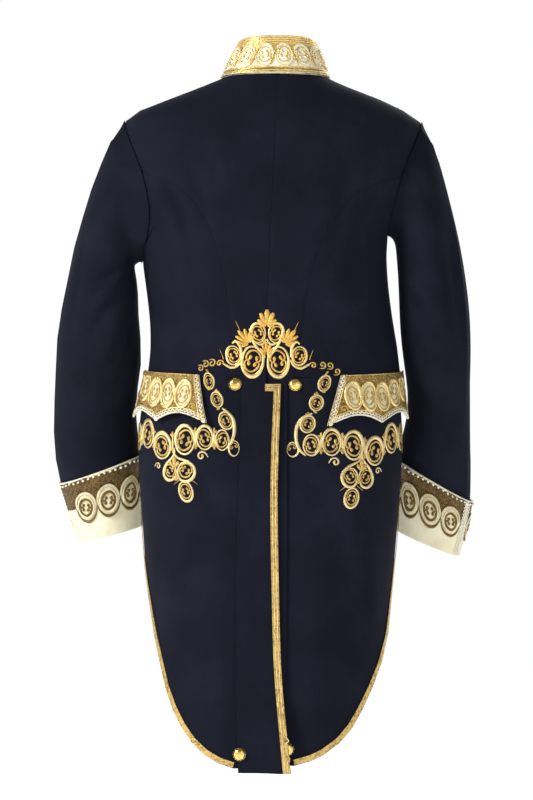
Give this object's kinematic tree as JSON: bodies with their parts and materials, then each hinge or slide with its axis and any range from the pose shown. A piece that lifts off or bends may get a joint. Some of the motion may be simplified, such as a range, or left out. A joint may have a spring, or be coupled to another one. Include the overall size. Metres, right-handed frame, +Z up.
{
  "type": "court uniform tail coat",
  "caption": "Hollow dark wool tail coat as worn, with a standing collar, goldwork scroll embroidery, ivory cuffs and collar, scalloped hip flaps and domed gilt buttons.",
  "frame": {"origin": "middle of the neck opening, level with the collar seam at the nape, where the wearer's neck stands", "axes": "+Z up along the wearer's body, +Y the way the wearer faces, +X to the wearer's right"},
  "size_m": [0.6046, 0.2754, 1.0257],
  "materials": {
    "navy_broadcloth": "milled wool broadcloth, matt",
    "ivory_cloth": "fine wool cloth, matt",
    "gilt_lace": "woven gilt wire lace",
    "gilt_metal": "polished gilt"
  },
  "bodies": {
    "root": {"back_left": "navy_broadcloth", "back_right": "navy_broadcloth", "side_body_left": "navy_broadcloth", "side_body_right": "navy_broadcloth", "forepart_left": "navy_broadcloth", "forepart_right": "navy_broadcloth", "skirt_left": "navy_broadcloth", "skirt_right": "navy_broadcloth", "top_sleeve_left": "navy_broadcloth", "top_sleeve_right": "navy_broadcloth", "under_sleeve_left": "navy_broadcloth", "under_sleeve_right": "navy_broadcloth", "cuff_left": "ivory_cloth", "cuff_right": "ivory_cloth", "collar": "ivory_cloth", "pocket_flap_left": "ivory_cloth", "pocket_flap_right": "ivory_cloth", "vent_lace": "gilt_lace", "hem_lace_left": "gilt_lace", "hem_lace_right": "gilt_lace", "hip_button_left": "gilt_metal", "hip_button_right": "gilt_metal", "hem_button_left": "gilt_metal", "hem_button_right": "gilt_metal", "front_button_1": "gilt_metal", "front_button_2": "gilt_metal", "front_button_3": "gilt_metal", "front_button_4": "gilt_metal", "front_button_5": "gilt_metal", "front_button_6": "gilt_metal", "front_button_7": "gilt_metal", "front_button_8": "gilt_metal", "front_button_9": "gilt_metal"}
  },
  "joints": []
}
